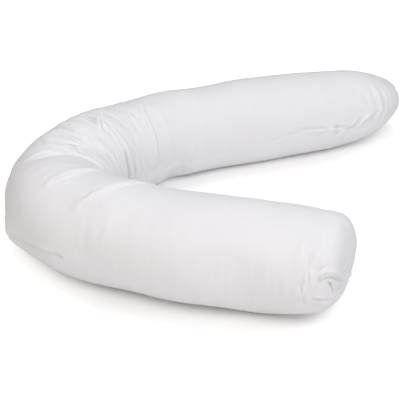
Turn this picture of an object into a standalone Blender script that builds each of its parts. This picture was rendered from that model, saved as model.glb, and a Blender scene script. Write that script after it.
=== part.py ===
"""Full-length body pillow: one long, firmly filled cotton bolster bent into a V.

The pillow lies on the ground plane, z = 0.  Its bend points to -X and both arms to +X.
The solid is a loft: closed rings are set along a bent centre line, from the tip of the
front arm (nearer to -Y) round the bend to the tip of the back arm.  Soft folds are raised
or sunk along the rings' own normals, and what would go below the ground is laid flat.
"""
import math

import bpy
import numpy as np

NAME = "body_pillow"
NODE = "pillow"

# Loft density: points round each ring, and how far apart the rings are along the line.
RING_POINTS = 36
SPACING_COLUMNS = ("along", "spacing")
RING_SPACINGS = (
    (0.00, 0.004),
    (0.06, 0.012),
    (0.15, 0.024),
    (0.50, 0.024),
    (0.56, 0.0085),
    (1.14, 0.0085),
    (1.20, 0.024),
    (1.65, 0.024),
    (1.80, 0.012),
    (1.88, 0.004),
)
LINE_STEPS = 1880           # steps along the centre line, 1 mm each

LENGTH = 1.88               # along the centre line, tip to tip
BEND_AT = 0.79              # where along the centre line the bend's middle lies
FLATTENING = 0.010          # how far the round section is pressed flat by the ground

# One row for each station along the centre line, in metres and degrees:
# heading is the way the centre line runs there, from the front tip to the back tip.
STATION_COLUMNS = ("along", "heading", "half_width", "height")
STATIONS = (
    (0.00, 158.0, 0.1275, 0.217),
    (0.22, 167.0, 0.1300, 0.222),
    (0.44, 158.0, 0.1320, 0.225),
    (0.60, 149.0, 0.1320, 0.225),
    (0.70, 119.0, 0.1340, 0.227),
    (0.79, 87.0, 0.1270, 0.218),
    (0.88, 66.5, 0.1280, 0.219),
    (0.98, 53.0, 0.1270, 0.216),
    (1.14, 36.0, 0.1195, 0.203),
    (1.38, 20.5, 0.1185, 0.201),
    (1.64, 22.0, 0.1135, 0.192),
    (1.88, 29.0, 0.0980, 0.164),
)

# How each arm closes: the height of its sewn tip, how long its upper side, its underside
# and its flanks take to reach full size, how blunt that curve is (2 is an ellipse), how
# far the tip is moved towards the bend's outer side, and how far it is drawn in.
END_COLUMNS = ("tip_height", "upper", "under", "flanks", "bluntness", "tip_shift", "drawn_in")
ENDS = {
    "front": (0.118, 0.074, 0.160, 0.070, 2.7, 0.040, 0.018),
    "back": (0.100, 0.160, 0.255, 0.150, 2.1, 0.006, 0.010),
}
DRAWN_IN_RADIUS = 0.035     # how wide the drawn-in place round each tip is

# One row for each main fold.  Turns are degrees round the ring: 0 is the top, 90 the
# bend's outer side and -90 its inner side.  A fold runs from one turn to another, and
# along gives its place on the centre line at its start, middle and end.  A fold's rise
# is negative where it is a crease.
FOLD_COLUMNS = (
    "turn_from", "turn_to", "along_from", "along_middle", "along_to", "rise", "half_width"
)
FOLDS = (
    (40.0, -64.0, 0.768, 0.806, 0.864, 0.010, 0.014),       # long ridge over the bend
    (12.0, -60.0, 0.766, 0.780, 0.832, -0.010, 0.013),      # crease under that ridge
    (36.0, -30.0, 0.840, 0.828, 0.824, -0.005, 0.010),
    (32.0, -48.0, 0.862, 0.850, 0.866, 0.006, 0.012),
    (28.0, -16.0, 0.918, 0.900, 0.888, -0.008, 0.012),
    (8.0, -14.0, 0.958, 0.960, 0.962, -0.009, 0.011),       # tuck behind the bend
    (6.0, -34.0, 0.980, 0.986, 0.996, 0.005, 0.012),
    (-18.0, -112.0, 0.974, 0.977, 0.972, -0.016, 0.012),    # deep crease at the crotch
    (-62.0, -96.0, 0.902, 0.908, 0.914, -0.007, 0.012),
    (-4.0, -70.0, 1.110, 1.102, 1.106, 0.007, 0.012),       # ridge across the back arm
    (26.0, -34.0, 0.657, 0.654, 0.628, 0.009, 0.014),       # ridge on the front arm's side
    (26.0, -30.0, 0.630, 0.620, 0.600, -0.007, 0.015),
    (34.0, -30.0, 0.570, 0.530, 0.470, 0.008, 0.016),       # last ridge before the front arm
    (34.0, -26.0, 0.543, 0.500, 0.442, -0.005, 0.018),
)

# The side seam where it pulls the cover in: one row for each stretch, which runs along
# the centre line between two places, at a turn that changes evenly.
SEAM_COLUMNS = ("along_from", "along_to", "turn_from", "turn_to", "depth")
SEAMS = (
    (0.590, 0.780, 97.0, 106.0, 0.009),
    (0.140, 0.560, 118.0, 112.0, 0.004),
    (1.180, 1.660, -94.0, -92.0, 0.006),
)
SEAM_HALF_WIDTH = 0.016

# Finish of the cover.
COVER_COLOUR = (0.86, 0.86, 0.87, 1.0)
COVER_ROUGHNESS = 0.85


def column(table, names, name):
    """Return one named column of a table as an array."""
    return np.array([row[names.index(name)] for row in table], dtype=float)


def smooth_through(places, values, at):
    """Cubic Hermite curve through the stations, its slopes averaged from both sides."""
    gaps = np.diff(places)
    rises = np.diff(values) / gaps
    slopes = np.empty_like(values)
    slopes[1:-1] = (rises[:-1] * gaps[1:] + rises[1:] * gaps[:-1]) / (gaps[1:] + gaps[:-1])
    slopes[0] = 1.5 * rises[0] - 0.5 * slopes[1]
    slopes[-1] = 1.5 * rises[-1] - 0.5 * slopes[-2]
    left = np.clip(np.searchsorted(places, at, side="right") - 1, 0, len(gaps) - 1)
    t = (at - places[left]) / gaps[left]
    start = (2 * t**3 - 3 * t**2 + 1) * values[left]
    end = (3 * t**2 - 2 * t**3) * values[left + 1]
    leaving = (t**3 - 2 * t**2 + t) * gaps[left] * slopes[left]
    arriving = (t**3 - t**2) * gaps[left] * slopes[left + 1]
    return start + end + leaving + arriving


def station_values(name, at):
    """Read one station column anywhere along the centre line."""
    along = column(STATIONS, STATION_COLUMNS, "along")
    return smooth_through(along, column(STATIONS, STATION_COLUMNS, name), at)


def ring_places():
    """Places of the rings along the centre line, closer together at the tips and the bend."""
    steps = np.linspace(0.0, LENGTH, LINE_STEPS + 1)
    along = column(RING_SPACINGS, SPACING_COLUMNS, "along")
    spacing = np.interp(steps, along, column(RING_SPACINGS, SPACING_COLUMNS, "spacing"))
    rings_per_step = LENGTH / LINE_STEPS / spacing
    rings_so_far = np.concatenate([[0.0], np.cumsum((rings_per_step[1:] + rings_per_step[:-1]) / 2)])
    count = int(round(rings_so_far[-1])) + 1
    return np.interp(np.linspace(0.0, rings_so_far[-1], count), rings_so_far, steps)


def centre_line(at):
    """Sum the headings along the line: x, y and heading at each place, bend at x = y = 0."""
    steps = np.linspace(0.0, LENGTH, LINE_STEPS + 1)
    heading = np.radians(station_values("heading", steps))
    step = LENGTH / LINE_STEPS
    x = np.concatenate([[0.0], np.cumsum((np.cos(heading[1:]) + np.cos(heading[:-1])) * step / 2)])
    y = np.concatenate([[0.0], np.cumsum((np.sin(heading[1:]) + np.sin(heading[:-1])) * step / 2)])
    x -= np.interp(BEND_AT, steps, x)
    y -= np.interp(BEND_AT, steps, y)
    return np.interp(at, steps, x), np.interp(at, steps, y), np.interp(at, steps, heading)


def rounding(distance, reach, bluntness):
    """A quarter of a superellipse: 0 at the tip, 1 from reach onwards."""
    short_of = 1.0 - np.clip(distance / reach, 0.0, 1.0)
    return (1.0 - short_of**bluntness) ** (1.0 / bluntness)


def end_scale(at, name):
    """How far a dimension has grown from either tip, as the product of both ends."""
    scale = np.ones_like(at)
    for end, distance in (("front", at), ("back", LENGTH - at)):
        row = dict(zip(END_COLUMNS, ENDS[end]))
        scale = scale * rounding(distance, row[name], row["bluntness"])
    return scale


def nearer_end(at, name):
    """One end column, taken from the end that each ring is nearer to."""
    index = END_COLUMNS.index(name)
    return np.where(at < LENGTH / 2, ENDS["front"][index], ENDS["back"][index])


def faded(share):
    """Full in the middle of a fold, 0 at both of its ends and beyond them."""
    return np.sqrt(np.sin(math.pi * np.clip(share, 0.0, 1.0)))


def fold_rise(along, turn):
    """Sum of the folds: each is a bell across a parabola on the unrolled cover."""
    total = np.zeros(np.broadcast(along, turn).shape)
    for row in FOLDS:
        fold = dict(zip(FOLD_COLUMNS, row))
        share = (turn - fold["turn_from"]) / (fold["turn_to"] - fold["turn_from"])
        t = np.clip(share, 0.0, 1.0)
        line = (1 - t) * (1 - 2 * t) * fold["along_from"] + t * (2 * t - 1) * fold["along_to"]
        line = line + 4 * t * (1 - t) * fold["along_middle"]
        across = (along - line) / fold["half_width"]
        total += fold["rise"] * faded(share) * np.exp(-(across**2))
    return total


def seam_depth(along, turn, radius):
    """Sum of the seam stretches: each is a groove that runs along the pillow."""
    total = np.zeros(np.broadcast(along, turn).shape)
    for row in SEAMS:
        seam = dict(zip(SEAM_COLUMNS, row))
        share = (along - seam["along_from"]) / (seam["along_to"] - seam["along_from"])
        line = seam["turn_from"] + np.clip(share, 0.0, 1.0) * (seam["turn_to"] - seam["turn_from"])
        across = np.radians(turn - line) * radius / SEAM_HALF_WIDTH
        total += seam["depth"] * faded(share) * np.exp(-(across**2))
    return total


def pillow_rings():
    """The rings' points, as an array of ring, point and axis."""
    at = ring_places()
    x, y, heading = centre_line(at)
    half_width = station_values("half_width", at)
    height = station_values("height", at)
    tip = nearer_end(at, "tip_height")
    top = tip + (height - tip) * end_scale(at, "upper")
    bottom = tip - (tip + FLATTENING) * end_scale(at, "under")
    flank = end_scale(at, "flanks")
    shift = nearer_end(at, "tip_shift") * (1.0 - flank)

    turn = np.linspace(-180.0, 180.0, RING_POINTS, endpoint=False)[None, :]
    angle = np.radians(turn)
    middle = (top + bottom)[:, None] / 2
    half_height = (top - bottom)[:, None] / 2
    half = (half_width * flank)[:, None]

    rise = fold_rise(at[:, None], turn) - seam_depth(at[:, None], turn, half_width[:, None])
    out_side = np.sin(angle) * half_height
    out_up = np.cos(angle) * half
    unit = np.maximum(np.hypot(out_side, out_up), 1e-9)
    aside = shift[:, None] + half * np.sin(angle) + rise * out_side / unit
    up = middle + half_height * np.cos(angle) + rise * out_up / unit

    drawn = nearer_end(at, "drawn_in")[:, None] * np.exp(-((half / DRAWN_IN_RADIUS) ** 2))
    towards = np.where(at < LENGTH / 2, 1.0, -1.0)[:, None] * drawn
    points = np.empty((len(at), RING_POINTS, 3))
    points[..., 0] = x[:, None] - np.sin(heading)[:, None] * aside + np.cos(heading)[:, None] * towards
    points[..., 1] = y[:, None] + np.cos(heading)[:, None] * aside + np.sin(heading)[:, None] * towards
    points[..., 2] = np.maximum(up, 0.0)
    return points


def loft(rings):
    """Join neighbouring rings with quads and close each end on its tip point."""
    inner = rings[1:-1]
    count, around = inner.shape[:2]
    points = np.concatenate([inner.reshape(-1, 3), rings[0].mean(axis=0)[None], rings[-1].mean(axis=0)[None]])
    front_tip = count * around
    back_tip = front_tip + 1
    faces = []
    for j in range(around):
        k = (j + 1) % around
        faces.append((front_tip, j, k))
        for i in range(count - 1):
            here = i * around
            there = here + around
            faces.append((here + j, there + j, there + k, here + k))
        last = (count - 1) * around
        faces.append((back_tip, last + k, last + j))
    return points, faces


def centred_on_the_ground(points):
    """Move the points so that the middle of their box is at x = y = 0."""
    low = points.min(axis=0)
    high = points.max(axis=0)
    return points - np.array([(low[0] + high[0]) / 2, (low[1] + high[1]) / 2, 0.0])


def cover_material():
    """White cotton cover."""
    material = bpy.data.materials.new("white cotton cover")
    material.use_nodes = True
    shader = material.node_tree.nodes["Principled BSDF"]
    shader.inputs["Base Color"].default_value = COVER_COLOUR
    shader.inputs["Roughness"].default_value = COVER_ROUGHNESS
    shader.inputs["Metallic"].default_value = 0.0
    return material


def make_pillow(collection):
    """The filled pillow, one closed solid resting on the ground."""
    points, faces = loft(pillow_rings())
    mesh = bpy.data.meshes.new(NODE)
    mesh.from_pydata(centred_on_the_ground(points).tolist(), [], faces)
    mesh.shade_smooth()
    mesh.materials.append(cover_material())
    pillow = bpy.data.objects.new(NODE, mesh)
    collection.objects.link(pillow)
    return pillow


def main():
    for old in list(bpy.data.objects):
        bpy.data.objects.remove(old, do_unlink=True)
    collection = bpy.data.collections.new(NAME)
    bpy.context.scene.collection.children.link(collection)
    make_pillow(collection)


main()
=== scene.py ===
"""The cotton cover of a full-length body pillow, bent into a V, on a plain studio floor."""
import math
import bpy
import numpy as np
from bpy.props import FloatProperty, FloatVectorProperty, IntProperty, PointerProperty
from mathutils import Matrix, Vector


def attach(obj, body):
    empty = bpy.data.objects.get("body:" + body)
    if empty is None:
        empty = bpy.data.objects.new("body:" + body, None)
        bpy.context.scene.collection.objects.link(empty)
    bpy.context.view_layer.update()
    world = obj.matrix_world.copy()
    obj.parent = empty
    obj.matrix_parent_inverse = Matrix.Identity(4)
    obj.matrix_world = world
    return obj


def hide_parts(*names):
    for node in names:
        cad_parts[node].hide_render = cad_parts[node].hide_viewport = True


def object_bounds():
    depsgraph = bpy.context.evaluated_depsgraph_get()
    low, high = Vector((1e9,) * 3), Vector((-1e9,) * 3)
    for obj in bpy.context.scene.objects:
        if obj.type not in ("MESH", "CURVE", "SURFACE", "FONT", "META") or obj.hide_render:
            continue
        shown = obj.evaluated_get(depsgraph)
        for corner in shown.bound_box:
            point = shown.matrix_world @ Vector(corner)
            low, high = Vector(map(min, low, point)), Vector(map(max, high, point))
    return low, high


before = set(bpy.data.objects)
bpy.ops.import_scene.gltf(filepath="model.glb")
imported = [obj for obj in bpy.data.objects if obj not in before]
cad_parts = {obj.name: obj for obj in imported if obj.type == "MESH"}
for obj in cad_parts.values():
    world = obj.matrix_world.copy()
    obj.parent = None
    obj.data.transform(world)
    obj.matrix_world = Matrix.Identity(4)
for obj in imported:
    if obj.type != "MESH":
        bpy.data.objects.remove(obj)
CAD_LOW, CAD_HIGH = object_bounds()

bl_info = {
    "name": "Body pillow cover",
    "version": (1, 0, 0),
    "blender": (4, 5, 0),
    "location": "View3D > Sidebar > Body pillow",
    "description": "Makes the sewn cotton cover of a V-shaped body pillow and its studio stage",
    "category": "Add Mesh",
}

NODE = "pillow"
COVER_UV = "cover"
SEED = 7                    # of the waves, creases, puckers and gathers
TINY = 1e-12                # stands in for a length of 0 that is divided by

# ---- The filled form, in metres and degrees ----
LENGTH = 1.88               # along the centre line, tip to tip
GIRTH = 0.74                # round the cover
BEND_AT = 0.79              # where along the centre line the bend's middle lies
FLATTENING = 0.010          # how far the round section is pressed flat by the ground
DRAWN_IN_RADIUS = 0.035     # how far from a tip's middle its cloth is drawn in
LINE_STEPS = 1880           # steps along the centre line, 1 mm each
FINE_STEPS = 6000           # steps used to space the rings and their points

# heading is the way the centre line runs, from the front arm's tip to the back arm's
STATION_COLUMNS = ("along", "heading", "half_width", "height")
STATIONS = (
    (0.00, 158.0, 0.1275, 0.217),
    (0.22, 167.0, 0.1300, 0.222),
    (0.44, 158.0, 0.1320, 0.225),
    (0.60, 149.0, 0.1320, 0.225),
    (0.70, 119.0, 0.1340, 0.227),
    (0.79, 87.0, 0.1270, 0.218),
    (0.88, 66.5, 0.1280, 0.219),
    (0.98, 53.0, 0.1270, 0.216),
    (1.14, 36.0, 0.1195, 0.203),
    (1.38, 20.5, 0.1185, 0.201),
    (1.64, 22.0, 0.1135, 0.192),
    (1.88, 29.0, 0.0980, 0.164),
)
# tip_height is where a tip's middle lies above the ground; upper, under and flanks are how
# long the rounding is on each side, and bluntness is how square it is.  tip_shift moves the
# tip to the bend's outer side, and drawn_in pulls its middle into the pillow.
END_COLUMNS = ("tip_height", "upper", "under", "flanks", "bluntness", "tip_shift", "drawn_in")
ENDS = {
    "front": (0.118, 0.074, 0.205, 0.070, 2.7, 0.040, 0.020),
    "back": (0.100, 0.160, 0.255, 0.150, 2.1, 0.006, 0.003),
}

# Relative spacing of the grid: closer where the cloth has fine folds or a seam.
SPACING_COLUMNS = ("place", "spacing")
RING_SPACINGS = (
    (0.00, 0.6), (0.10, 0.9), (0.18, 1.8), (0.44, 1.8), (0.56, 0.8), (0.74, 0.7), (1.04, 0.7),
    (1.16, 0.9), (1.24, 1.8), (1.58, 1.6), (1.68, 0.9), (1.88, 0.7),
)
TURN_SPACINGS = (
    (-180.0, 1.4), (-112.0, 1.0), (-98.0, 0.5), (-84.0, 0.5), (-74.0, 0.9), (40.0, 1.0),
    (62.0, 0.6), (122.0, 0.55), (134.0, 1.2), (180.0, 1.4),
)

FOLD_STEPS = 16             # straight pieces of a fold's path
FOLD_FALL = 1.6             # how fast a fold falls away from its crest
FOLD_BLUNTNESS = 0.5        # how blunt its crest is
FOLD_TAPER = 0.8            # how it dies out towards both of its ends
SIDE_BLEND = 1e-7           # how soft the change from its left side to its right one is

# One row a fold: it runs through three places on the unrolled cover, each an along in
# metres and a turn in degrees round the ring (0 top, 90 the bend's outer side, -90 its
# inner side).  Its rise, negative for a crease, its half width and its lean come after them.
# A positive lean makes it steeper on its left side, looking from its first place to its last.
MAIN_FOLDS = (
    (0.772, 38, 0.806, -8, 0.876, -68, 0.0078, 0.0048, -0.2),
    (0.758, 26, 0.792, -12, 0.862, -64, -0.008, 0.011, 0.4),
    (0.853, 42, 0.832, 12, 0.813, -20, -0.0105, 0.005, 0),
    (0.866, 36, 0.853, -8, 0.864, -54, 0.0078, 0.0065, -0.3),
    (0.914, 36, 0.896, 0, 0.906, -30, -0.012, 0.005, 0),
    (0.938, 40, 0.913, 4, 0.93, -28, 0.0072, 0.006, 0.3),
    (0.985, 12, 0.966, -3, 0.942, -18, -0.009, 0.004, 0),
    (0.97, -60, 0.966, -80, 0.968, -122, -0.021, 0.0064, 0),
    (0.89, -50, 0.9, -62, 0.912, -82, -0.009, 0.0058, 0),
    (1.142, 6, 1.113, -40, 1.094, -106, 0.0075, 0.006, 0.2),
    (1.116, 12, 1.104, -20, 1.096, -60, 0.0045, 0.005, -0.3),
    (0.664, 32, 0.651, 4, 0.62, -42, 0.0082, 0.0095, -0.62),
    (0.655, 28, 0.642, 2, 0.611, -38, -0.002, 0.006, 0),
    (0.588, 44, 0.548, 14, 0.466, -36, 0.0085, 0.0095, -0.62),
    (0.577, 38, 0.538, 12, 0.457, -32, -0.002, 0.006, 0),
)
LESSER_FOLDS = (
    (0.862, 12, 0.856, -10, 0.852, -38, 0.003, 0.005, 0.3),
    (0.882, 2, 0.885, -8, 0.889, -18, -0.003, 0.004, 0),
    (0.894, 46, 0.875, 14, 0.884, -10, -0.0025, 0.007, 0),
    (0.978, -6, 0.964, -14, 0.948, -24, 0.012, 0.0055, 0),
    (0.884, -18, 0.877, -28, 0.874, -46, -0.0035, 0.004, 0),
    (0.816, 34, 0.787, -2, 0.79, -36, -0.004, 0.005, 0),
    (0.826, 28, 0.802, -4, 0.812, -46, 0.003, 0.005, 0.2),
    (0.846, 26, 0.826, -16, 0.88, -66, 0.003, 0.005, -0.3),
    (0.782, 20, 0.812, -12, 0.862, -60, 0.003, 0.004, -0.3),
    (0.998, -76, 0.996, -88, 0.995, -103, -0.012, 0.005, 0),
    (0.988, -36, 0.986, -58, 0.986, -88, 0.0045, 0.005, 0),
    (0.962, -36, 0.96, -58, 0.957, -88, 0.004, 0.006, 0),
    (0.974, -24, 0.981, -40, 0.975, -60, -0.003, 0.004, 0),
    (0.669, 18, 0.657, 0, 0.636, -28, -0.003, 0.004, 0),
    (0.59, 30, 0.56, 12, 0.502, -20, -0.003, 0.004, 0),
    (0.782, 24, 0.814, -10, 0.862, -48, -0.003, 0.004, 0),
    (1.13, -8, 1.118, -34, 1.109, -56, -0.005, 0.005, 0),
    (1.112, 30, 1.108, 12, 1.107, -6, -0.003, 0.005, 0),
    (1.06, 24, 1.066, 6, 1.072, -12, -0.003, 0.006, 0),
    (1.023, -74, 1.032, -90, 1.046, -108, -0.004, 0.006, 0),
    (1.052, -78, 1.062, -94, 1.072, -110, -0.003, 0.006, 0),
    (0.942, -15, 0.951, -22, 0.962, -32, -0.003, 0.004, 0),
    (0.932, -21, 0.944, -28, 0.958, -36, 0.003, 0.004, 0),
    (1.082, -6, 1.078, -15, 1.068, -26, -0.003, 0.004, 0),
    (1.098, -8, 1.092, -16, 1.088, -26, -0.002, 0.004, 0),
    (1.256, 10, 1.266, -6, 1.279, -26, 0.004, 0.007, -0.3),
    (1.246, 6, 1.256, -8, 1.268, -24, -0.002, 0.006, 0),
    (1.236, -78, 1.226, -90, 1.222, -108, 0.006, 0.005, 0),
    (1.07, -94, 1.095, -97, 1.125, -95, -0.004, 0.01, 0),
    (0.657, 25, 0.651, 17, 0.643, 8, -0.003, 0.004, 0),
    (0.648, 23, 0.641, 16, 0.632, 8, 0.003, 0.004, 0),
    (0.541, 21, 0.534, 15, 0.524, 6, -0.003, 0.004, 0),
    (0.534, 33, 0.527, 29, 0.517, 24, 0.003, 0.004, 0),
    (0.526, 38, 0.52, 34, 0.508, 29, 0.002, 0.004, 0),
    (0.495, 31, 0.482, 25, 0.472, 17, 0.002, 0.004, 0),
    (0.489, 62, 0.475, 44, 0.44, 18, -0.003, 0.01, 0),
    (0.42, 52, 0.42, 41, 0.418, 30, -0.002, 0.006, 0),
    (0.498, 60, 0.494, 71, 0.493, 84, 0.0016, 0.006, 0),
    (0.469, 57, 0.464, 64, 0.461, 74, 0.0014, 0.005, 0),
    (0.438, 66, 0.437, 75, 0.432, 84, 0.0014, 0.005, 0),
    (0.395, 57, 0.395, 67, 0.389, 78, 0.0014, 0.006, 0),
    (0.376, 30, 0.37, 40, 0.364, 54, 0.0012, 0.007, 0),
    (1.544, -87, 1.585, -90, 1.618, -90, 0.0058, 0.005, 0),
    (1.538, -83, 1.579, -86, 1.612, -87, -0.0055, 0.005, 0),
    (1.616, -88, 1.631, -91, 1.646, -97, 0.0095, 0.006, 0),
    (1.634, -86, 1.645, -90, 1.656, -93, -0.007, 0.005, 0),
    (1.655, -92, 1.69, -95, 1.716, -80, -0.0065, 0.005, 0),
    (1.648, -82, 1.68, -89, 1.7, -82, 0.0055, 0.006, 0),
    (1.64, -106, 1.653, -102, 1.67, -100, 0.0055, 0.006, 0),
    (1.772, -32, 1.776, -56, 1.779, -82, 0.0055, 0.005, 0),
    (1.755, -34, 1.764, -56, 1.768, -80, -0.006, 0.006, 0),
    (1.798, -38, 1.799, -57, 1.799, -76, 0.003, 0.004, 0),
    (1.812, -50, 1.816, -68, 1.812, -86, 0.002, 0.004, 0),
    (1.756, -76, 1.74, -81, 1.724, -88, 0.0055, 0.005, 0),
    (1.74, -76, 1.722, -86, 1.704, -98, 0.0055, 0.004, 0),
    (1.765, -78, 1.752, -86, 1.742, -96, -0.0055, 0.005, 0),
    (1.62, -78, 1.631, -75, 1.646, -72, -0.003, 0.005, 0),
    (1.585, -46, 1.579, -57, 1.579, -70, 0.0012, 0.005, 0),
    (1.602, -48, 1.597, -59, 1.597, -72, 0.0012, 0.005, 0),
    (1.625, -44, 1.619, -56, 1.614, -66, 0.0012, 0.005, 0),
    (1.725, -46, 1.735, -54, 1.74, -62, -0.003, 0.006, 0),
    (0.706, 105, 0.655, 96, 0.602, 91, 0.008, 0.0045, -0.3),
    (0.724, 110, 0.66, 102, 0.594, 96.5, -0.0025, 0.005, 0),
    (0.611, 96, 0.602, 98, 0.592, 99, -0.008, 0.006, 0),
    (0.724, 94, 0.72, 106, 0.716, 120, -0.006, 0.006, 0),
    (0.704, 102, 0.702, 112, 0.699, 126, -0.004, 0.005, 0),
    (0.74, 96, 0.737, 106, 0.735, 118, 0.004, 0.007, 0),
)

# Folds round the front tip, on the cloth flattened round it: each place is in metres to the
# outer side of the tip, then above it, and the rest of a row is as in the folds above.
TIP_FOLD_REACH = 0.3        # how far from the tip they may lie
TIP_FOLDS = (
    (0.126, 0.032, 0.121, 0.052, 0.098, 0.058, 0.011, 0.005, 0),
    (0.116, 0.046, 0.074, 0.041, -0.02, -0.028, 0.007, 0.006, 0),
    (0.136, 0.028, 0.106, 0.033, 0.068, 0.018, -0.006, 0.004, 0),
    (0.09, 0.027, 0.044, 0.002, -0.022, -0.044, -0.0065, 0.004, 0),
    (0.108, 0.022, 0.088, 0, 0.078, -0.044, -0.0115, 0.005, 0),
    (0.1, 0.014, 0.096, 0.002, 0.088, -0.014, 0.0035, 0.004, 0),
    (0.09, 0.02, 0.082, 0.018, 0.064, 0.006, 0.0035, 0.004, 0),
    (0.128, 0.056, 0.118, 0.065, 0.102, 0.068, -0.0035, 0.004, 0),
    (0.146, -0.014, 0.13, -0.021, 0.108, -0.03, 0.004, 0.0045, 0),
    (0.15, -0.026, 0.126, -0.034, 0.098, -0.048, -0.004, 0.0035, 0),
    (0.148, -0.037, 0.124, -0.047, 0.094, -0.062, 0.004, 0.0038, 0),
    (0.17, -0.014, 0.167, -0.032, 0.158, -0.05, -0.0055, 0.004, 0),
    (0.175, 0.036, 0.176, 0.016, 0.175, -0.002, -0.004, 0.004, 0),
    (0.152, 0.08, 0.16, 0.056, 0.163, 0.032, 0.0045, 0.004, 0),
    (0.142, 0.078, 0.146, 0.056, 0.152, 0.032, 0.0045, 0.004, 0),
    (0.169, 0.028, 0.17, 0.015, 0.17, 0, 0.003, 0.004, 0),
    (0.153, 0.084, 0.159, 0.066, 0.163, 0.048, -0.0025, 0.004, 0),
    (-0.018, -0.012, -0.024, -0.026, -0.032, -0.048, 0.005, 0.007, 0),
    (0.072, -0.02, 0.036, -0.032, -0.006, -0.052, -0.005, 0.006, 0),
    (-0.036, 0.16, -0.026, 0.146, -0.022, 0.132, 0.0035, 0.005, 0),
    (-0.04, 0.122, -0.043, 0.1, -0.052, 0.074, 0.003, 0.005, 0),
    (0.056, 0.014, 0.04, -0.006, 0.034, -0.03, 0.004, 0.005, 0),
    (0.03, 0.01, 0.02, -0.01, 0.018, -0.034, -0.004, 0.005, 0),
)

# Each row scatters small creases over a patch: how many, where, how long and how slanting
# they are, and the usual rise and half width of one.
PATCH_COLUMNS = (
    "count", "along_from", "along_to", "turn_from", "turn_to", "shortest", "longest",
    "slant", "rise", "half_width",
)
CREASED_PATCHES = (
    (46, 0.77, 1, -70, 24, 0.05, 0.17, 0.1, 0.0025, 0.0035),
    (80, 0.8, 1.02, -80, 30, 0.02, 0.06, 0.28, 0.0019, 0.0034),
    (26, 0.56, 0.74, -60, 34, 0.03, 0.1, 0.25, 0.001, 0.004),
    (34, 1.02, 1.17, -100, 30, 0.03, 0.1, 0.16, 0.0015, 0.0038),
    (36, 1.66, 1.87, -110, 20, 0.02, 0.07, 0.25, 0.0016, 0.0036),
    (36, 1.6, 1.87, 40, 220, 0.02, 0.08, 0.3, 0.0013, 0.0042),
    (30, 0.03, 0.12, 40, 120, 0.02, 0.06, 0.2, 0.0012, 0.0036),
    (20, 0, 0.11, 120, 220, 0.02, 0.06, 0.5, 0.0014, 0.0045),
    (12, 0, 0.11, -140, 20, 0.02, 0.06, 0.5, 0.0006, 0.005),
    (50, 0.12, 0.62, 44, 112, 0.03, 0.08, 0.12, 0.0007, 0.0055),
    (44, 0.62, 1.2, 60, 130, 0.03, 0.1, 0.25, 0.0008, 0.0055),
    (40, 1.2, 1.64, 40, 130, 0.03, 0.09, 0.2, 0.0008, 0.0055),
    (30, 1.18, 1.6, -120, -60, 0.03, 0.08, 0.2, 0.0008, 0.005),
    (24, 0.12, 0.54, -120, -50, 0.03, 0.08, 0.2, 0.0008, 0.005),
)
CREASE_BOW = 0.05           # how far a small crease bows, in its lengths
CREASE_RISES = (0.4, 1.5)   # its rise and its half width, in its patch's usual ones
CREASE_WIDTHS = (0.7, 1.5)
CREASE_LEANS = (-0.3, 0.3)
RIDGE_SHARE = 0.6           # how many stand up as ridges; the others are pressed in

# The long waves of the filling: how many to a metre, how many round the cover (the last
# number is left out) and their height.
WAVE_COUNT = 12
WAVES_PER_METRE = (2.0, 6.5)
WAVES_ROUND = (-3, 4)
WAVE_HEIGHT = 0.0006

# Each row is a lump of the filling, or a dent where it has a minus: its middle, its half
# length in metres, its half width in degrees and its rise.
LUMP_COLUMNS = ("along", "turn", "length", "width", "rise")
LUMPS = (
    (0.752, 84.0, 0.075, 34.0, -0.0090),
    (0.215, -20.0, 0.065, 30.0, 0.0090),
    (0.030, -28.0, 0.030, 34.0, 0.0075),
    (0.706, 106.0, 0.022, 18.0, 0.0150),
    (0.655, 112.0, 0.040, 24.0, -0.0070),
    (1.188, -126.0, 0.030, 24.0, -0.0150),
    (0.926, 30.0, 0.032, 12.0, -0.0065),
)

# The two long seams: where each lies round the ring, at places along the pillow.
SEAMS = (
    ((-0.09, 68.0), (0.02, 74.0), (0.10, 108.0), (0.20, 124.0), (0.50, 124.0), (0.56, 115.0), (0.60, 99.0),
     (0.65, 98.0), (0.70, 105.0), (0.90, 104.0), (1.93, 98.0)),
    ((-0.09, -90.0), (0.80, -92.0), (1.12, -104.0), (1.40, -100.0), (1.54, -88.0), (1.93, -90.0)),
)
SEAM_HALF_WIDTH = 0.0035
PUCKER_PITCH = 0.016        # from one pucker to the next
PUCKER_REACH = 0.030        # how far from its seam a pucker dies out
PUCKER_GAP = 0.006          # how close to its seam a pucker starts
PUCKER_WANDER = 0.3         # how far a pucker lies from its even place, in pitches

# The gathers are ridges that run out from each tip.
GATHER_COUNT = 21
GATHER_REACH = 0.055
GATHER_CORE = 0.012         # how far from the tip's middle they start
GATHER_WANDER = 6.0         # how far a gather lies from its even place, in degrees
GATHER_HEIGHTS = (0.3, 1.0)
GATHER_WIDTHS = (3.5, 7.0)  # in degrees
GATHER_REACHES = (0.6, 1.3)

# The cloth is blown up on a coarse grid.
CLOTH_RINGS = 280
CLOTH_POINTS = 100
CLOTH_GRAIN = 0.0005        # the small unevenness that starts its buckles
CLOTH_SETTINGS = {
    "quality": 5,
    "mass": 0.15,
    "tension_stiffness": 20.0,
    "compression_stiffness": 20.0,
    "shear_stiffness": 8.0,
    "bending_stiffness": 0.02,
    "use_pressure": True,
    "uniform_pressure_force": 4.0,
}
FRAMES = 20
FARTHEST = 0.008            # how far a point of the cloth may move
SPARE_CLOTH = 0.35          # how much longer the cloth is on the inside of the bend
SPARE_MIDDLE = 0.86
SPARE_REACH = 0.20
FIRM_SHARE = 0.35           # how much of the cloth's movement the firm arms and tips keep
SOFT_MIDDLE = 0.90
SOFT_REACH = 0.20

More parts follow.
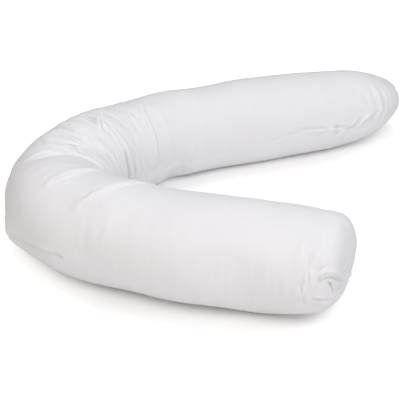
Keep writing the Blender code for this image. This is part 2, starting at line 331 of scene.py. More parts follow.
# The slight drift of the cotton's tone, and its faint creases: sizes in metres along the
# pillow and across it.
TONE_DRIFT = {"Along": 0.06, "Across": 0.10, "Detail": 3.0}
CREASE_DRIFT = {"Along": 0.020, "Across": 0.16, "Detail": 4.0}
DRIFT_ROUGHNESS = 0.55

# One row a softbox: its name, azimuth (0 the camera's side, 90 the right) and elevation in
# degrees, distance and size in metres, power in watts and colour.
LIGHTS = (
    ("overhead", 180.0, 78.0, 4.0, 2.5, 51.0, (0.88, 0.91, 1.0)),
    ("front", 0.0, 40.0, 5.0, 3.3, 44.4, (1.0, 0.958, 0.898)),
    ("front_right", 45.0, 50.0, 5.0, 3.3, 99.0, (0.928, 0.942, 1.0)),
    ("front_left", -45.0, 50.0, 5.0, 3.3, 52.4, (1.0, 0.963, 0.925)),
)
FILL_COLOUR = (1.0, 0.92, 0.86)
WHITE = (1.0, 1.0, 1.0, 1.0)
FLOOR_HALF = 80.0           # half the floor's width, which reaches the horizon
CAMERA_TARGET = (-0.0395, -0.095, 0.09)

# Painted light on the floor that only the camera sees: a painted glow that whitens the floor far from one
# centre, and a painted glow on both sides of a line that paints out the pillow's cast shadows there; each
# glow grows from nothing to its whole strength between the two distances of its rise.
FAR_PAINTED_GLOW_CENTRE = (0.06, 0.0, 0.0)
FAR_PAINTED_GLOW_RISE = (0.60, 1.15)
SIDE_PAINTED_GLOW_DIRECTION = (1.0, -0.24, 0.0)
SIDE_PAINTED_GLOW_CENTRE = 0.02
SIDE_PAINTED_GLOW_RISE = (0.15, 0.50)


# ---- Settings that a user would change ----
def number_property(name, description, default, **kind):
    """A number that the user can change."""
    return FloatProperty(name=name, description=description, default=default, **kind)


def length_property(name, description, default):
    """A length that the user can change, in metres."""
    return number_property(name, description, default, unit="LENGTH")


def colour_property(name, description, default):
    """A colour that the user can change."""
    return FloatVectorProperty(
        name=name, description=description, default=default, subtype="COLOR", size=3, min=0.0, max=1.0
    )


class CoverShape(bpy.types.PropertyGroup):
    """Sizes of the filled cover."""

    rings: IntProperty(name="Rings", description="Rings of points along the pillow", default=616)
    points: IntProperty(name="Points", description="Points round each ring", default=161)
    seam_depth: length_property("Seam depth", "Depth of the two long seams", 0.0016)
    pucker_height: length_property("Pucker height", "Height of the puckers beside the seams", 0.0010)
    gather_height: length_property("Gather height", "Height of the gathers round both tips", 0.0035)


class CoverFinish(bpy.types.PropertyGroup):
    """Colour and weave of the cotton."""

    cotton: colour_property("Cotton", "Colour of the cover where it is lightest", (0.79, 0.79, 0.80))
    shade: colour_property("Shade", "Colour of the cover where it is darkest", (0.755, 0.755, 0.765))
    thread_pitch: length_property("Thread pitch", "Distance between neighbouring threads", 0.0006)
    weave_depth: length_property("Weave depth", "Height of the threads above their gaps", 0.00012)
    crease_depth: length_property("Crease depth", "Height of the faint creases across", 0.0012)
    roughness: number_property("Roughness", "Roughness of the cotton", 0.88)
    sheen: number_property("Sheen", "Soft gloss of the loose fibres", 0.05)


class StageSettings(bpy.types.PropertyGroup):
    """Floor, light and camera."""

    floor: colour_property("Floor", "Colour of the studio floor", (0.95, 0.95, 0.95))
    glow: number_property("Glow", "Light that the floor itself gives off", 0.05)
    # The far and side whites are painted light: glows on the floor that only the camera sees, which whiten
    # it and paint out the pillow's shadows at its sides
    far_painted_glow: number_property("Far white", "Extra white far from the pillow, for the camera", 1.03)
    side_painted_glow: number_property("Side white", "Extra white beside the pillow, for the camera", 0.42)
    fill: number_property("Fill", "Strength of the even surroundings", 0.22)
    elevation: number_property(
        "Elevation", "Camera angle above the floor", math.radians(29.0), unit="ROTATION"
    )
    distance: length_property("Distance", "Camera distance from its target", 3.364)
    lens: number_property("Lens", "Focal length", 128.6, unit="CAMERA")


# ---- The cover's surface ----
def column(table, names, name):
    """One named column of a table, as an array."""
    return np.array([row[names.index(name)] for row in table], dtype=float)


def running_total(steps):
    """The sum of the steps so far, from 0."""
    return np.concatenate([[0.0], np.cumsum(steps)])


def bell(value, power=2):
    """The bell curve: exp of minus the value's square, or of a higher power of it."""
    return np.exp(-(value**power))


def turns_from(turn, place):
    """Turns measured from a place on the ring, from -180 up to 180."""
    return (turn - place + 180.0) % 360.0 - 180.0


def smooth_through(places, values, at):
    """Cubic Hermite curve through the stations, its slopes averaged from both sides."""
    gaps = np.diff(places)
    rises = np.diff(values) / gaps
    slopes = np.empty_like(values)
    slopes[1:-1] = (rises[:-1] * gaps[1:] + rises[1:] * gaps[:-1]) / (gaps[1:] + gaps[:-1])
    slopes[0] = 1.5 * rises[0] - 0.5 * slopes[1]
    slopes[-1] = 1.5 * rises[-1] - 0.5 * slopes[-2]
    left = np.clip(np.searchsorted(places, at, side="right") - 1, 0, len(gaps) - 1)
    t = (at - places[left]) / gaps[left]
    start = (2 * t**3 - 3 * t**2 + 1) * values[left]
    end = (3 * t**2 - 2 * t**3) * values[left + 1]
    leaving = (t**3 - 2 * t**2 + t) * gaps[left] * slopes[left]
    arriving = (t**3 - t**2) * gaps[left] * slopes[left + 1]
    return start + end + leaving + arriving


def station_values(name, at):
    """One station column anywhere along the centre line."""
    along = column(STATIONS, STATION_COLUMNS, "along")
    return smooth_through(along, column(STATIONS, STATION_COLUMNS, name), at)


def rounding(distance, reach, bluntness):
    """A quarter of a superellipse: 0 at the tip, 1 from reach onwards."""
    short_of = 1.0 - np.clip(distance / reach, 0.0, 1.0)
    return (1.0 - short_of**bluntness) ** (1.0 / bluntness)


def end_scale(at, name):
    """How far a dimension has grown from either tip, as the product of both ends."""
    scale = np.ones_like(at)
    for end, distance in (("front", at), ("back", LENGTH - at)):
        row = dict(zip(END_COLUMNS, ENDS[end]))
        scale = scale * rounding(distance, row[name], row["bluntness"])
    return scale


def nearer_end(at, name):
    """One end column, taken from the end that each ring is nearer to."""
    index = END_COLUMNS.index(name)
    return np.where(at < LENGTH / 2, ENDS["front"][index], ENDS["back"][index])


def spread(fine, lengths, spacings, count, closed):
    """Places along a line, closer together where the table's spacing is smaller."""
    places, relative = (column(spacings, SPACING_COLUMNS, name) for name in SPACING_COLUMNS)
    spacing = np.interp(fine, places, relative)
    so_far = running_total(lengths / spacing[1:])
    return np.interp(np.linspace(0.0, so_far[-1], count, endpoint=not closed), so_far, fine)


def fine_places():
    """Close places along the pillow, closest at its tips, and the flank's half width there."""
    fine = LENGTH * (0.5 - 0.5 * np.cos(np.linspace(0.0, math.pi, FINE_STEPS + 1)))
    return fine, station_values("half_width", fine) * end_scale(fine, "flanks")


def ring_places(count):
    """Places of the rings, measured over the flank and the caps."""
    fine, flank = fine_places()
    return spread(fine, np.hypot(np.diff(fine), np.diff(flank)), RING_SPACINGS, count, False)


def ring_turns(count):
    """Turns of the points of every ring."""
    fine = np.linspace(-180.0, 180.0, FINE_STEPS + 1)
    return spread(fine, np.diff(fine), TURN_SPACINGS, count, True)


def centre_line(at):
    """Sum the headings along the line: x, y and heading at each place, bend at x = y = 0."""
    steps = np.linspace(0.0, LENGTH, LINE_STEPS + 1)
    heading = np.radians(station_values("heading", steps))
    step = LENGTH / LINE_STEPS
    line = []
    for wave in (np.cos, np.sin):
        so_far = running_total((wave(heading[1:]) + wave(heading[:-1])) * step / 2)
        line.append(np.interp(at, steps, so_far - np.interp(BEND_AT, steps, so_far)))
    return *line, np.interp(at, steps, heading)


def unrolled(at):
    """How far each ring lies along the cloth, which at the ends runs over the caps."""
    fine, flank = fine_places()
    way = running_total(np.hypot(np.diff(fine), np.diff(flank)))
    return np.interp(at, fine, way + LENGTH / 2 - np.interp(LENGTH / 2, fine, way))


def fold_profile(distance, half_width):
    """A crest across a fold: exp of minus a hyperbola of the distance, 1 at the crest."""
    return np.exp(FOLD_BLUNTNESS - np.sqrt((FOLD_FALL * distance / half_width) ** 2 + FOLD_BLUNTNESS**2))


def fold_heights(place, table, scale=1.0):
    """Sum of the folds on flattened cloth, each along a parabola through its three places.

    The scale turns a row's places into metres on that cloth.
    """
    flat = place.reshape(-1, 2)
    total = np.zeros(len(flat))
    t = np.linspace(0.0, 1.0, FOLD_STEPS + 1)[:, None]
    for *places, rise, half_width, lean in table:
        start, middle, end = np.array(places).reshape(3, 2) * scale
        path = (1 - t) * (1 - 2 * t) * start + 4 * t * (1 - t) * middle + t * (2 * t - 1) * end
        reach = 3.0 * half_width
        inside = (flat > path.min(axis=0) - reach) & (flat < path.max(axis=0) + reach)
        near = np.flatnonzero(inside[:, 0] & inside[:, 1])
        if len(near):
            total[near] += rise * one_fold(flat[near], path, half_width, lean)
    return total.reshape(place.shape[:2])


def one_fold(place, path, half_width, lean):
    """A fold's height, 0 to 1, from each place's distance to the nearest piece of its path."""
    nearest = np.full(len(place), np.inf)
    side = np.zeros(len(place))
    share = np.zeros(len(place))
    for i in range(len(path) - 1):
        step = path[i + 1] - path[i]
        aside = place - path[i]
        t = np.clip((aside @ step) / max(step @ step, TINY), 0.0, 1.0)
        gap = aside - t[:, None] * step
        distance = np.hypot(gap[:, 0], gap[:, 1])
        closer = distance < nearest
        left = np.tanh((step[0] * aside[:, 1] - step[1] * aside[:, 0]) / SIDE_BLEND)
        nearest = np.where(closer, distance, nearest)
        side = np.where(closer, left, side)
        share = np.where(closer, (i + t) / (len(path) - 1), share)
    fade = np.sin(math.pi * np.clip(share, 0.0, 1.0)) ** FOLD_TAPER
    return fade * fold_profile(nearest, half_width * (1.0 - lean * side))


def fold_rise(way, turn, table):
    """Heights of the folds on the unrolled cover, which closes round the pillow."""
    across = turn * GIRTH / 360.0
    total = 0.0
    for wrap in (-GIRTH, 0.0, GIRTH):
        place = np.stack(np.meshgrid(way, across + wrap, indexing="ij"), axis=-1)
        total = total + fold_heights(place, table, (1.0, GIRTH / 360.0))
    return total


def tip_fold_rise(way, turn):
    """Heights of the folds round the front tip, at each ring's distance from it and its turn."""
    out = (way - way[0])[:, None]
    angle = np.radians(turn)[None, :]
    place = np.stack([out * np.sin(angle), out * np.cos(angle)], axis=-1)
    total = np.zeros(place.shape[:2])
    near = out[:, 0] < TIP_FOLD_REACH
    total[near] = fold_heights(place[near], TIP_FOLDS)
    return total


def base_surface(at, turn):
    """The filled form: an ellipse at each place on the centre line, rounded off at the ends.

    The ring's point at a turn is the centre, plus the half width times the turn's sine
    sideways, plus the half height times its cosine upwards.
    """
    x, y, heading = centre_line(at)
    half_width = station_values("half_width", at)
    height = station_values("height", at)
    tip = nearer_end(at, "tip_height")
    top = tip + (height - tip) * end_scale(at, "upper")
    bottom = tip - (tip + FLATTENING) * end_scale(at, "under")
    flank = end_scale(at, "flanks")
    shift = nearer_end(at, "tip_shift") * (1.0 - flank)
    angle = np.radians(turn)[None, :]
    half = (half_width * flank)[:, None]
    aside = shift[:, None] + half * np.sin(angle)
    up = ((top + bottom)[:, None] + (top - bottom)[:, None] * np.cos(angle)) / 2
    drawn = nearer_end(at, "drawn_in")[:, None] * bell(half / DRAWN_IN_RADIUS)
    towards = np.where(at < LENGTH / 2, 1.0, -1.0)[:, None] * drawn
    sine, cosine = np.sin(heading)[:, None], np.cos(heading)[:, None]
    east = x[:, None] - sine * aside + cosine * towards
    north = y[:, None] + cosine * aside + sine * towards
    return np.stack([east, north, up], axis=-1)


def grid_normals(points):
    """Outward unit normals of the grid: the cross products of its steps along and round it."""
    along = np.gradient(points, axis=0)
    around = (np.roll(points, -1, axis=1) - np.roll(points, 1, axis=1)) / 2
    normal = np.cross(along, around)
    normal = normal / np.maximum(np.linalg.norm(normal, axis=-1, keepdims=True), TINY)
    normal[0] = normal[1].mean(axis=0)
    normal[-1] = normal[-2].mean(axis=0)
    return normal


def wandering(rng, way, pitch):
    """A random line through the places: smooth hills about one pitch apart, from -1 to 1."""
    knots = np.arange(way.min() - pitch, way.max() + 2 * pitch, pitch)
    values = rng.uniform(-1.0, 1.0, len(knots))
    places = knots + rng.uniform(-PUCKER_WANDER, PUCKER_WANDER, len(knots)) * pitch
    left = np.clip(np.searchsorted(places, way, side="right") - 1, 0, len(knots) - 2)
    t = np.clip((way - places[left]) / (places[left + 1] - places[left]), 0.0, 1.0)
    return values[left] + (values[left + 1] - values[left]) * (3 * t**2 - 2 * t**3)


def seam_rise(rng, way, turn, depth, pucker_height):
    """The seams: each is a sharp groove with puckers, which wander along both of its sides."""
    total = np.zeros((len(way), len(turn)))
    for seam in SEAMS:
        line = np.interp(way, *zip(*seam))
        away = turns_from(turn[None, :], line[:, None]) * GIRTH / 360.0
        total -= depth * fold_profile(away, SEAM_HALF_WIDTH)
        for side in (-1.0, 1.0):
            pucker = wandering(rng, way, PUCKER_PITCH)[:, None] * bell(away / PUCKER_REACH)
            pucker = np.where(away * side > 0, pucker, 0.0)
            total += pucker_height * pucker * (1 - bell(away / PUCKER_GAP))
    return total


def scattered_folds(rng):
    """Small creases at random places of the patches, running mostly round the pillow."""
    folds = []
    for row in CREASED_PATCHES:
        patch = dict(zip(PATCH_COLUMNS, row))
        for _ in range(patch["count"]):
            along = rng.uniform(patch["along_from"], patch["along_to"])
            turn = rng.uniform(patch["turn_from"], patch["turn_to"])
            length = rng.uniform(patch["shortest"], patch["longest"])
            step = length / 2 * rng.normal(0.0, patch["slant"])
            half = length / 2 * 360.0 / GIRTH
            bow = rng.normal(0.0, CREASE_BOW) * length
            rise = patch["rise"] * rng.uniform(*CREASE_RISES)
            rise = rise if rng.random() < RIDGE_SHARE else -rise
            width = patch["half_width"] * rng.uniform(*CREASE_WIDTHS)
            path = (along - step, turn - half, along + bow, turn, along + step, turn + half)
            folds.append((*path, rise, width, rng.uniform(*CREASE_LEANS)))
    return folds


def end_gathers(rng, at, turn, gather_height):
    """The gathers: each is a fold profile round the ring, times a bell out from the tip."""
    half = station_values("half_width", at) * end_scale(at, "flanks")
    start = np.clip(half / GATHER_CORE, 0.0, 1.0)
    total = np.zeros((len(at), len(turn)))
    for end in (at < LENGTH / 2, at >= LENGTH / 2):
        places = np.linspace(-180.0, 180.0, GATHER_COUNT, endpoint=False)
        places = places + rng.uniform(-GATHER_WANDER, GATHER_WANDER, GATHER_COUNT)
        heights = rng.uniform(*GATHER_HEIGHTS, GATHER_COUNT)
        widths = rng.uniform(*GATHER_WIDTHS, GATHER_COUNT) * FOLD_FALL
        lengths = rng.uniform(*GATHER_REACHES, GATHER_COUNT) * GATHER_REACH
        for place, height, width, length in zip(places, heights, widths, lengths):
            out = np.where(end, bell(half / length) * start, 0.0)
            across = fold_profile(turns_from(turn, place), width)
            total += gather_height * height * out[:, None] * across[None, :]
    return total


def unevenness(rng, way, turn):
    """The filling's waves, each the sine of its place along plus its turn, and its lumps.

    A lump is its rise, times a bell along the pillow, times a bell round it.
    """
    total = np.zeros((len(way), len(turn)))
    for _ in range(WAVE_COUNT):
        along = rng.uniform(*WAVES_PER_METRE)
        around = rng.integers(*WAVES_ROUND)
        start = rng.uniform(0.0, 2 * math.pi)
        total += np.sin(2 * math.pi * along * way[:, None] + np.radians(turn)[None, :] * around + start)
    total *= WAVE_HEIGHT
    for row in LUMPS:
        lump = dict(zip(LUMP_COLUMNS, row))
        along = bell((way - lump["along"]) / lump["length"])
        around = bell(turns_from(turn, lump["turn"]) / lump["width"])
        total += lump["rise"] * along[:, None] * around[None, :]
    return total


def with_rise(points, rise):
    """Move the points out along their normals, and keep them on or above the ground."""
    points = points + grid_normals(points) * rise[..., None]
    points[..., 2] = np.maximum(points[..., 2], 0.0)
    return points


def resampled(values, index, axis, closed):
    """Catmull-Rom curve through the rows of an array, at fractional row numbers."""
    values = np.moveaxis(values, axis, 0)
    count = len(values)
    left = np.floor(index).astype(int)
    t = (index - left).reshape(-1, *([1] * (values.ndim - 1)))
    rows = [left - 1, left, left + 1, left + 2]
    rows = [row % count if closed else np.clip(row, 0, count - 1) for row in rows]
    a, b, c, d = (values[row] for row in rows)
    result = b + 0.5 * t * (c - a + t * (2 * a - 5 * b + 4 * c - d + t * (3 * (b - c) + d - a)))
    return np.moveaxis(result, 0, axis)


def place_on_frame(points):
    """Move the points so that their box's middle in plan is the CAD box's."""
    low = points.reshape(-1, 3).min(axis=0)
    high = points.reshape(-1, 3).max(axis=0)
    shift = np.array([(CAD_LOW[i] + CAD_HIGH[i] - low[i] - high[i]) / 2 for i in (0, 1)] + [0.0])
    return points + shift


def grid_coords(points):
    """The vertices of the grid's mesh: all rings but the tips, then the two tips."""
    inner = points[1:-1].reshape(-1, 3)
    return np.concatenate([inner, points[0].mean(axis=0)[None], points[-1].mean(axis=0)[None]])


def grid_corners(rings, around):
    """The ring and the point of every face corner: quads, then a fan of triangles at each tip.

    The corner at a tip lies half a point on from its triangle's edge.
    """
    i, j = np.indices((rings - 3, around)).reshape(2, -1)
    k = np.arange(around)
    front = np.zeros(around, dtype=int)
    back = front + rings - 1
    ring = ((i + 1, i + 2, i + 2, i + 1), (front, front + 1, front + 1), (back, back - 1, back - 1))
    point = ((j, j, j + 1, j + 1), (k + 0.5, k, k + 1), (k + 0.5, k + 1, k))
    return (np.concatenate([np.stack(face, axis=-1).ravel() for face in faces]) for faces in (ring, point))


def grid_mesh(name, points, at, turn):
    """Closed mesh of the grid, with a UV in metres: U along the pillow and V round it."""
    rings, around = points.shape[:2]
    coords = grid_coords(points)
    ring, point = grid_corners(rings, around)
    vertex = (ring - 1) * around + point.astype(int) % around
    vertex[ring == 0] = len(coords) - 2
    vertex[ring == rings - 1] = len(coords) - 1
    sizes = np.concatenate([np.full((rings - 3) * around, 4), np.full(2 * around, 3)])
    mesh = bpy.data.meshes.new(name)
    mesh.vertices.add(len(coords))
    mesh.vertices.foreach_set("co", coords.ravel())
    mesh.loops.add(len(vertex))
    mesh.loops.foreach_set("vertex_index", vertex)
    mesh.polygons.add(len(sizes))
    mesh.polygons.foreach_set("loop_start", np.concatenate([[0], np.cumsum(sizes)[:-1]]))
    mesh.update(calc_edges=True)
    mesh.validate()
    round_cover = np.append(turn + 180.0, 360.0) * GIRTH / 360.0
    v = np.interp(point, np.arange(around + 1), round_cover)
    layer = mesh.uv_layers.new(name=COVER_UV)
    layer.data.foreach_set("uv", np.stack([unrolled(at)[ring], v], axis=-1).ravel())
    mesh.shade_smooth()
    return mesh


def cut_pattern(points, at, turn):
    """The grid as it was cut: the rings of the bend's inner side lie farther apart.

    Each step from ring to ring is longer by a bell round the bend times the turn's inner half.
    """
    inner = 0.5 - 0.5 * np.sin(np.radians(turn))
    spare = SPARE_CLOTH * bell((at - SPARE_MIDDLE) / SPARE_REACH)[:, None] * inner[None, :]
    steps = np.diff(points, axis=0) * (1.0 + (spare[1:] + spare[:-1]) / 2)[..., None]
    pattern = np.concatenate([points[:1], points[:1] + np.cumsum(steps, axis=0)])
    middle = int(np.argmin(np.abs(at - SPARE_MIDDLE)))
    return pattern - pattern[middle] + points[middle]


def cut_cloth(points, at, turn):
    """The coarse cover as cloth under pressure, at rest in the shape of its cut pattern."""
    cloth = added("cloth", grid_mesh("cloth", points, at, turn))
    cloth.shape_key_add(name="filled")
    cut = cloth.shape_key_add(name="cut")
    cut.data.foreach_set("co", grid_coords(cut_pattern(points, at, turn)).ravel())
    modifier = cloth.modifiers.new("fill", "CLOTH")
    for name, value in CLOTH_SETTINGS.items():
        setattr(modifier.settings, name, value)
    modifier.settings.effector_weights.gravity = 0.0
    modifier.settings.rest_shape_key = cut
    modifier.collision_settings.use_collision = False
    modifier.point_cache.frame_start = 1
    modifier.point_cache.frame_end = FRAMES
    return cloth


def blown_up(points, at, turn):
    """Blow the coarse cover up as cloth under pressure, and return how far it moved.

    Its cut pattern is the same grid, longer on the inside of the bend, where a real cover
    has cloth to spare and buckles.
    """
    scene = bpy.context.scene
    cloth = cut_cloth(points, at, turn)
    for number in range(1, FRAMES + 1):
        scene.frame_set(number)
    result = cloth.evaluated_get(bpy.context.evaluated_depsgraph_get()).to_mesh()
    blown = np.empty(len(result.vertices) * 3)
    result.vertices.foreach_get("co", blown)
    mesh = cloth.data
    bpy.data.objects.remove(cloth)
    bpy.data.meshes.remove(mesh)
    scene.frame_set(1)
    moved = blown.reshape(-1, 3) - grid_coords(points)
    inner = moved[:-2].reshape(len(at) - 2, len(turn), 3)
    tips = np.repeat(moved[-2:, None], len(turn), axis=1)
    moved = np.concatenate([tips[:1], inner, tips[1:]])
    size = np.maximum(np.linalg.norm(moved, axis=-1, keepdims=True), TINY)
    return moved * np.minimum(1.0, FARTHEST / size)


def cloth_movement(rng, at, turn):
    """How far the coarse cloth moves, carried over to the fine grid and less where it is firm."""
    coarse_at = ring_places(CLOTH_RINGS)
    coarse_turn = np.linspace(-180.0, 180.0, CLOTH_POINTS, endpoint=False)
    coarse = base_surface(coarse_at, coarse_turn)
    coarse = with_rise(coarse, fold_rise(unrolled(coarse_at), coarse_turn, MAIN_FOLDS))
    coarse = with_rise(coarse, rng.normal(0.0, CLOTH_GRAIN, coarse.shape[:2]))
    moved = blown_up(coarse, coarse_at, coarse_turn)
    moved = resampled(moved, np.interp(at, coarse_at, np.arange(CLOTH_RINGS)), 0, False)
    moved = resampled(moved, (turn + 180.0) / 360.0 * CLOTH_POINTS, 1, True)
    share = FIRM_SHARE + (1.0 - FIRM_SHARE) * bell((at - SOFT_MIDDLE) / SOFT_REACH, 4)
    return moved * share[:, None, None]


def cover_points(shape, at, turn):
    """The whole cover: filled form, cloth under pressure, then its folds and seams."""
    rng = np.random.default_rng(SEED)
    way = unrolled(at)
    points = with_rise(base_surface(at, turn), unevenness(rng, way, turn))
    points = points + cloth_movement(rng, at, turn)
    points = with_rise(points, fold_rise(way, turn, MAIN_FOLDS))
    fine = fold_rise(way, turn, (*LESSER_FOLDS, *scattered_folds(rng)))
    fine += tip_fold_rise(way, turn)
    fine += seam_rise(rng, way, turn, shape.seam_depth, shape.pucker_height)
    fine += end_gathers(rng, at, turn, shape.gather_height)
    return place_on_frame(with_rise(points, fine))


# ---- Materials ----
def new_group(name, numbers, result):
    """A node group on a place on the cloth: its tree, inlets, the place's axes and its outlet."""
    group = bpy.data.node_groups.new(name, "ShaderNodeTree")
    group.interface.new_socket(name="Vector", in_out="INPUT", socket_type="NodeSocketVector")
    for label in numbers:
        group.interface.new_socket(name=label, in_out="INPUT", socket_type="NodeSocketFloat")
    group.interface.new_socket(name=result, in_out="OUTPUT", socket_type="NodeSocketFloat")
    inlets = group.nodes.new("NodeGroupInput").outputs
    split = group.nodes.new("ShaderNodeSeparateXYZ")
    group.links.new(inlets["Vector"], split.inputs["Vector"])
    return group, inlets, split.outputs, group.nodes.new("NodeGroupOutput").inputs[result]


def calculated(tree, operation, first, second=None):
    """The result of a Math node on sockets or numbers."""
    node = tree.nodes.new("ShaderNodeMath")
    node.operation = operation
    for socket, value in zip(node.inputs, (first, second)):
        if isinstance(value, bpy.types.NodeSocket):
            tree.links.new(value, socket)
        elif value is not None:
            socket.default_value = value
    return node.outputs["Value"]


def weave_group():
    """Plain weave: threads pass over and under each other, one pitch apart both ways."""
    group, inlets, axes, height = new_group("plain weave", ("Pitch",), "Height")
    waves = []
    for axis in ("X", "Y"):
        crossings = calculated(group, "DIVIDE", axes[axis], inlets["Pitch"])
        waves.append(calculated(group, "SINE", calculated(group, "MULTIPLY", crossings, math.pi)))
    woven = calculated(group, "MULTIPLY", calculated(group, "MULTIPLY", *waves), 0.5)
    group.links.new(calculated(group, "ADD", woven, 0.5), height)
    return group


def drift_group():
    """Soft drift between 0 and 1, with its own size along the cloth and across it."""
    group, inlets, axes, value = new_group("soft drift", ("Along", "Across", "Detail"), "Value")
    joined = group.nodes.new("ShaderNodeCombineXYZ")
    for axis, name in (("X", "Along"), ("Y", "Across")):
        group.links.new(calculated(group, "DIVIDE", axes[axis], inlets[name]), joined.inputs[axis])
    noise = group.nodes.new("ShaderNodeTexNoise")
    noise.inputs["Scale"].default_value = 1.0
    noise.inputs["Roughness"].default_value = DRIFT_ROUGHNESS
    group.links.new(joined.outputs["Vector"], noise.inputs["Vector"])
    group.links.new(inlets["Detail"], noise.inputs["Detail"])
    group.links.new(noise.outputs["Fac"], value)
    return group


def placed_group(tree, group, vector, values):
    """A group in a material, fed with the place on the cloth and with its own values."""
    node = tree.nodes.new("ShaderNodeGroup")
    node.node_tree = group
    tree.links.new(vector, node.inputs["Vector"])
    for name, value in values.items():
        node.inputs[name].default_value = value
    return node.outputs[0]


def bumped(tree, height, depth, under=None):
    """The normal after a height that is depth metres from lowest to highest."""
    bump = tree.nodes.new("ShaderNodeBump")
    bump.inputs["Distance"].default_value = depth
    tree.links.new(height, bump.inputs["Height"])
    if under is not None:
        tree.links.new(under, bump.inputs["Normal"])
    return bump.outputs["Normal"]


def new_material(name, values):
    """A material with its node tree and its Principled BSDF, which gets the values."""
    material = bpy.data.materials.new(name)
    material.use_nodes = True
    shader = material.node_tree.nodes["Principled BSDF"]
    for label, value in values.items():
        shader.inputs[label].default_value = value
    return material, material.node_tree, shader


def cotton_material(finish):
    """White cotton: plain weave, faint creases across the pillow and a slight drift of tone."""
    cotton, tree, shader = new_material(
        "white cotton", {"Roughness": finish.roughness, "Sheen Weight": finish.sheen}
    )
    uv = tree.nodes.new("ShaderNodeUVMap")
    uv.uv_map = COVER_UV
    place = uv.outputs["UV"]
    drift = drift_group()
    mix = tree.nodes.new("ShaderNodeMix")
    mix.data_type = "RGBA"
    mix.inputs["A"].default_value = (*finish.shade, 1.0)
    mix.inputs["B"].default_value = (*finish.cotton, 1.0)
    tree.links.new(placed_group(tree, drift, place, TONE_DRIFT), mix.inputs["Factor"])
    tree.links.new(mix.outputs["Result"], shader.inputs["Base Color"])
    creases = placed_group(tree, drift, place, CREASE_DRIFT)
    weave = placed_group(tree, weave_group(), place, {"Pitch": finish.thread_pitch})
    woven = bumped(tree, weave, finish.weave_depth, bumped(tree, creases, finish.crease_depth))
    tree.links.new(woven, shader.inputs["Normal"])
    return cotton


def vector_value(tree, operation, vector, constant):
    """The value of a Vector Math node on a vector socket and a constant."""
    node = tree.nodes.new("ShaderNodeVectorMath")
    node.operation = operation
    tree.links.new(vector, node.inputs[0])
    node.inputs[1].default_value = constant
    return node.outputs["Value"]


def smooth_rise(tree, distance, start, end, strength):
    """A smooth step up from 0 to a strength, while the distance goes from start to end."""
    node = tree.nodes.new("ShaderNodeMapRange")
    node.interpolation_type = "SMOOTHSTEP"
    for name, value in (("From Min", start), ("From Max", end), ("To Max", strength)):
        node.inputs[name].default_value = value
    tree.links.new(distance, node.inputs["Value"])
    return node.outputs["Result"]


def floor_material(stage):
    """A matt floor that gives off a little light, with painted light that only the camera sees: whiter far
    from the pillow, and beside it, where the painted glow covers the cast shadows.
    """
    material, tree, shader = new_material("studio floor", {
        "Base Color": (*stage.floor, 1.0),
        "Roughness": 0.9,
        "Specular IOR Level": 0.0,
        "Emission Color": WHITE,
    })
    place = tree.nodes.new("ShaderNodeTexCoord").outputs["Object"]
    out = vector_value(tree, "DISTANCE", place, FAR_PAINTED_GLOW_CENTRE)
    across = vector_value(tree, "DOT_PRODUCT", place, SIDE_PAINTED_GLOW_DIRECTION)
    aside = calculated(tree, "ABSOLUTE", calculated(tree, "SUBTRACT", across, SIDE_PAINTED_GLOW_CENTRE))
    far = smooth_rise(tree, out, *FAR_PAINTED_GLOW_RISE, stage.far_painted_glow)
    beside = smooth_rise(tree, aside, *SIDE_PAINTED_GLOW_RISE, stage.side_painted_glow)
    # Painted light: the camera alone sees these glows, which whiten the floor and paint out its shadows at
    # the pillow's sides
    ray = tree.nodes.new("ShaderNodeLightPath").outputs["Is Camera Ray"]
    painted_glow_seen = calculated(tree, "MULTIPLY", calculated(tree, "ADD", far, beside), ray)
    tree.links.new(calculated(tree, "ADD", painted_glow_seen, stage.glow), shader.inputs["Emission Strength"])
    return material


def fill_world(world, fill):
    """Even surroundings that light the scene a little, with a white backdrop beyond the floor."""
    world.use_nodes = True
    nodes = world.node_tree.nodes
    links = world.node_tree.links
    surroundings = nodes["Background"]
    surroundings.inputs["Color"].default_value = (*FILL_COLOUR, 1.0)
    surroundings.inputs["Strength"].default_value = fill
    backdrop = nodes.new("ShaderNodeBackground")
    backdrop.inputs["Color"].default_value = WHITE
    mix = nodes.new("ShaderNodeMixShader")
    links.new(nodes.new("ShaderNodeLightPath").outputs["Is Camera Ray"], mix.inputs[0])
    links.new(surroundings.outputs["Background"], mix.inputs[1])
    links.new(backdrop.outputs["Background"], mix.inputs[2])
    links.new(mix.outputs["Shader"], nodes["World Output"].inputs["Surface"])


# ---- Objects ----
def added(name, data):
    """A new object in the scene, at the origin."""
    thing = bpy.data.objects.new(name, data)
    bpy.context.scene.collection.objects.link(thing)
    return thing


def aimed(name, data, target, azimuth, elevation, distance):
    """A light or camera that looks at a target from a distance, its angles in radians."""
    thing = added(name, data)
    level = math.cos(elevation)
    away = Vector((math.sin(azimuth) * level, -math.cos(azimuth) * level, math.sin(elevation)))
    thing.location = Vector(target) + away * distance
    thing.rotation_euler = (-away).to_track_quat("-Z", "Y").to_euler()
    return thing


def add_softbox(name, azimuth, elevation, distance, size, power, colour):
    """A round softbox that shines on the middle of the floor under the pillow."""
    light = bpy.data.lights.new(name, "AREA")
    light.shape = "DISK"
    light.size = size
    light.energy = power
    light.color = colour
    aimed(name, light, (0.0, 0.0, 0.0), math.radians(azimuth), math.radians(elevation), distance)


# ---- Operators ----
class BODYPILLOW_OT_cover(bpy.types.Operator):
    """Make the filled cotton cover in place of the plain solid"""

    bl_idname = "bodypillow.cover"
    bl_label = "Cover"

    def execute(self, context):
        shape = context.scene.bodypillow_shape
        at = ring_places(shape.rings)
        turn = ring_turns(shape.points)
        mesh = grid_mesh("pillow_cover", cover_points(shape, at, turn), at, turn)
        mesh.materials.append(cotton_material(context.scene.bodypillow_finish))
        cover = added("pillow_cover", mesh)
        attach(cover, "root")
        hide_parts(NODE)
        return {"FINISHED"}


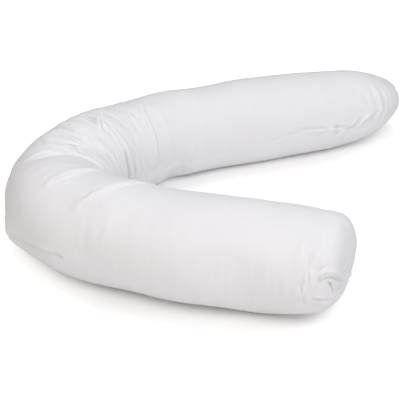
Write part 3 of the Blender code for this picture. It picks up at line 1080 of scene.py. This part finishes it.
class BODYPILLOW_OT_stage(bpy.types.Operator):
    """Make the floor, the studio light and the camera"""

    bl_idname = "bodypillow.stage"
    bl_label = "Stage"

    def execute(self, context):
        scene = context.scene
        stage = scene.bodypillow_stage
        sides = ((-1, -1), (1, -1), (1, 1), (-1, 1))
        mesh = bpy.data.meshes.new("floor")
        mesh.from_pydata([(x * FLOOR_HALF, y * FLOOR_HALF, 0.0) for x, y in sides], [], [(0, 1, 2, 3)])
        mesh.materials.append(floor_material(stage))
        floor = added("studio_floor", mesh)

        scene.world = bpy.data.worlds.new("studio")
        fill_world(scene.world, stage.fill)
        for row in LIGHTS:
            add_softbox(*row)

        camera = bpy.data.cameras.new("camera")
        camera.sensor_width = 36.0
        camera.lens = stage.lens
        scene.camera = aimed("camera", camera, CAMERA_TARGET, 0.0, stage.elevation, stage.distance)
        scene.view_settings.view_transform = "Standard"
        return {"FINISHED"}


class BODYPILLOW_PT_sidebar(bpy.types.Panel):
    """Lists the pillow's settings and pieces"""

    bl_idname = "BODYPILLOW_PT_sidebar"
    bl_label = "Body pillow"
    bl_space_type = "VIEW_3D"
    bl_region_type = "UI"
    bl_category = "Body pillow"

    def draw(self, context):
        scene = context.scene
        for group in (scene.bodypillow_shape, scene.bodypillow_finish, scene.bodypillow_stage):
            box = self.layout.box()
            for name in type(group).__annotations__:
                box.prop(group, name)
        for operator in (BODYPILLOW_OT_cover, BODYPILLOW_OT_stage):
            self.layout.operator(operator.bl_idname)


CLASSES = (
    CoverShape,
    CoverFinish,
    StageSettings,
    BODYPILLOW_OT_cover,
    BODYPILLOW_OT_stage,
    BODYPILLOW_PT_sidebar,
)


def register():
    for cls in CLASSES:
        bpy.utils.register_class(cls)
    bpy.types.Scene.bodypillow_shape = PointerProperty(type=CoverShape)
    bpy.types.Scene.bodypillow_finish = PointerProperty(type=CoverFinish)
    bpy.types.Scene.bodypillow_stage = PointerProperty(type=StageSettings)


def unregister():
    del bpy.types.Scene.bodypillow_stage
    del bpy.types.Scene.bodypillow_finish
    del bpy.types.Scene.bodypillow_shape
    for cls in reversed(CLASSES):
        bpy.utils.unregister_class(cls)


def main():
    register()
    bpy.ops.bodypillow.cover()
    bpy.ops.bodypillow.stage()


if __name__ == "__main__":
    main()
